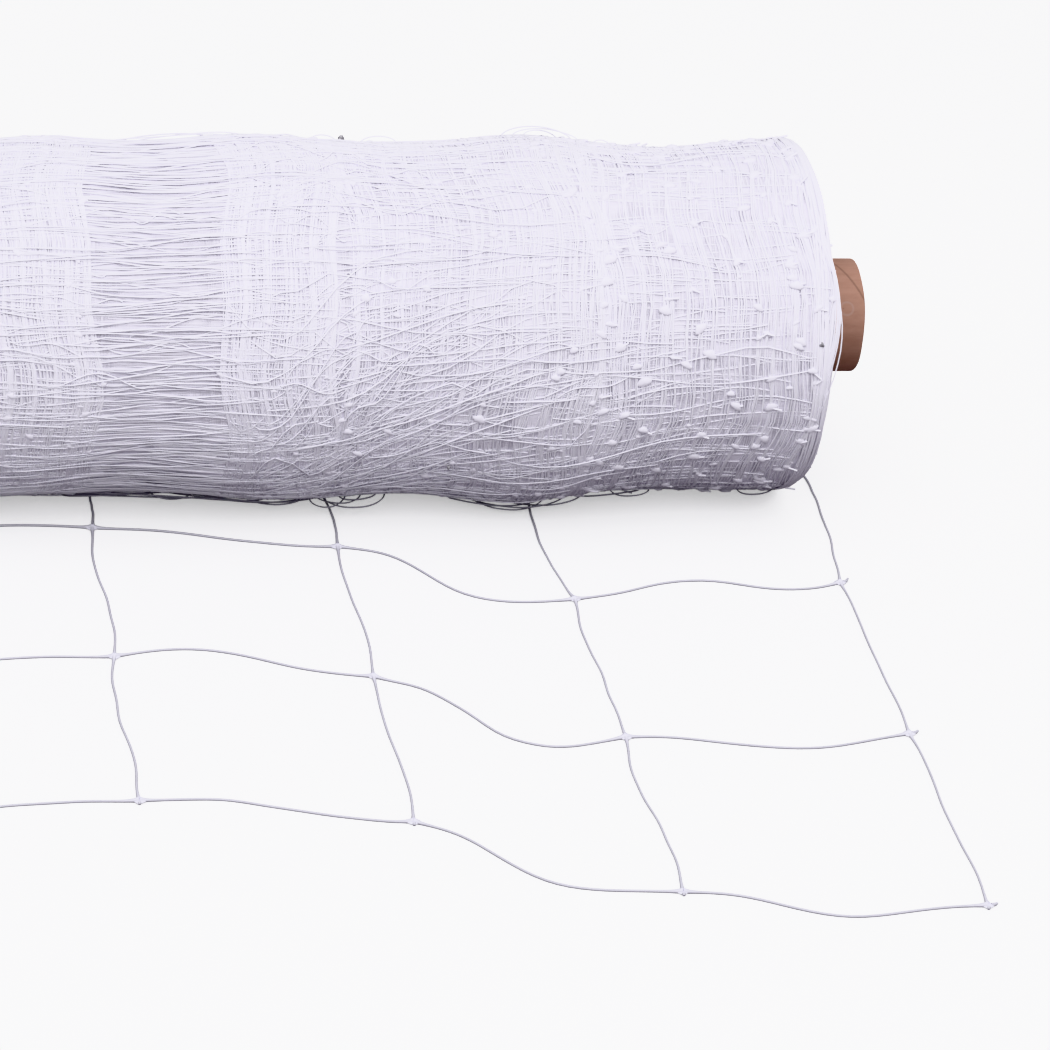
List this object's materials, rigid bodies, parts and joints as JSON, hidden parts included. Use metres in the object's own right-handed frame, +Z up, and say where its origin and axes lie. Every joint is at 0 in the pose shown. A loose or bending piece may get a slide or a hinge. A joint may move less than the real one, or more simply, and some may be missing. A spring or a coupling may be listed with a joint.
{
  "type": "trellis netting roll",
  "caption": "Wide roll of white plastic square-mesh net for climbing plants, wound on a cardboard core, its loose end lying unrolled on the ground.",
  "frame": {"origin": "middle of the roll's flat spot, on the ground, halfway along the roll", "axes": "+X along the roll's axis, -Y towards the loose end, +Z up"},
  "size_m": [1.2912, 0.5769, 0.2122],
  "materials": {
    "cardboard": "raw kraft board, matt, with a spiral seam",
    "net_plastic": "milky white translucent plastic, satin"
  },
  "bodies": {
    "root": {"core_tube": "cardboard", "wound_net": "net_plastic", "loose_net": "net_plastic"}
  },
  "joints": []
}
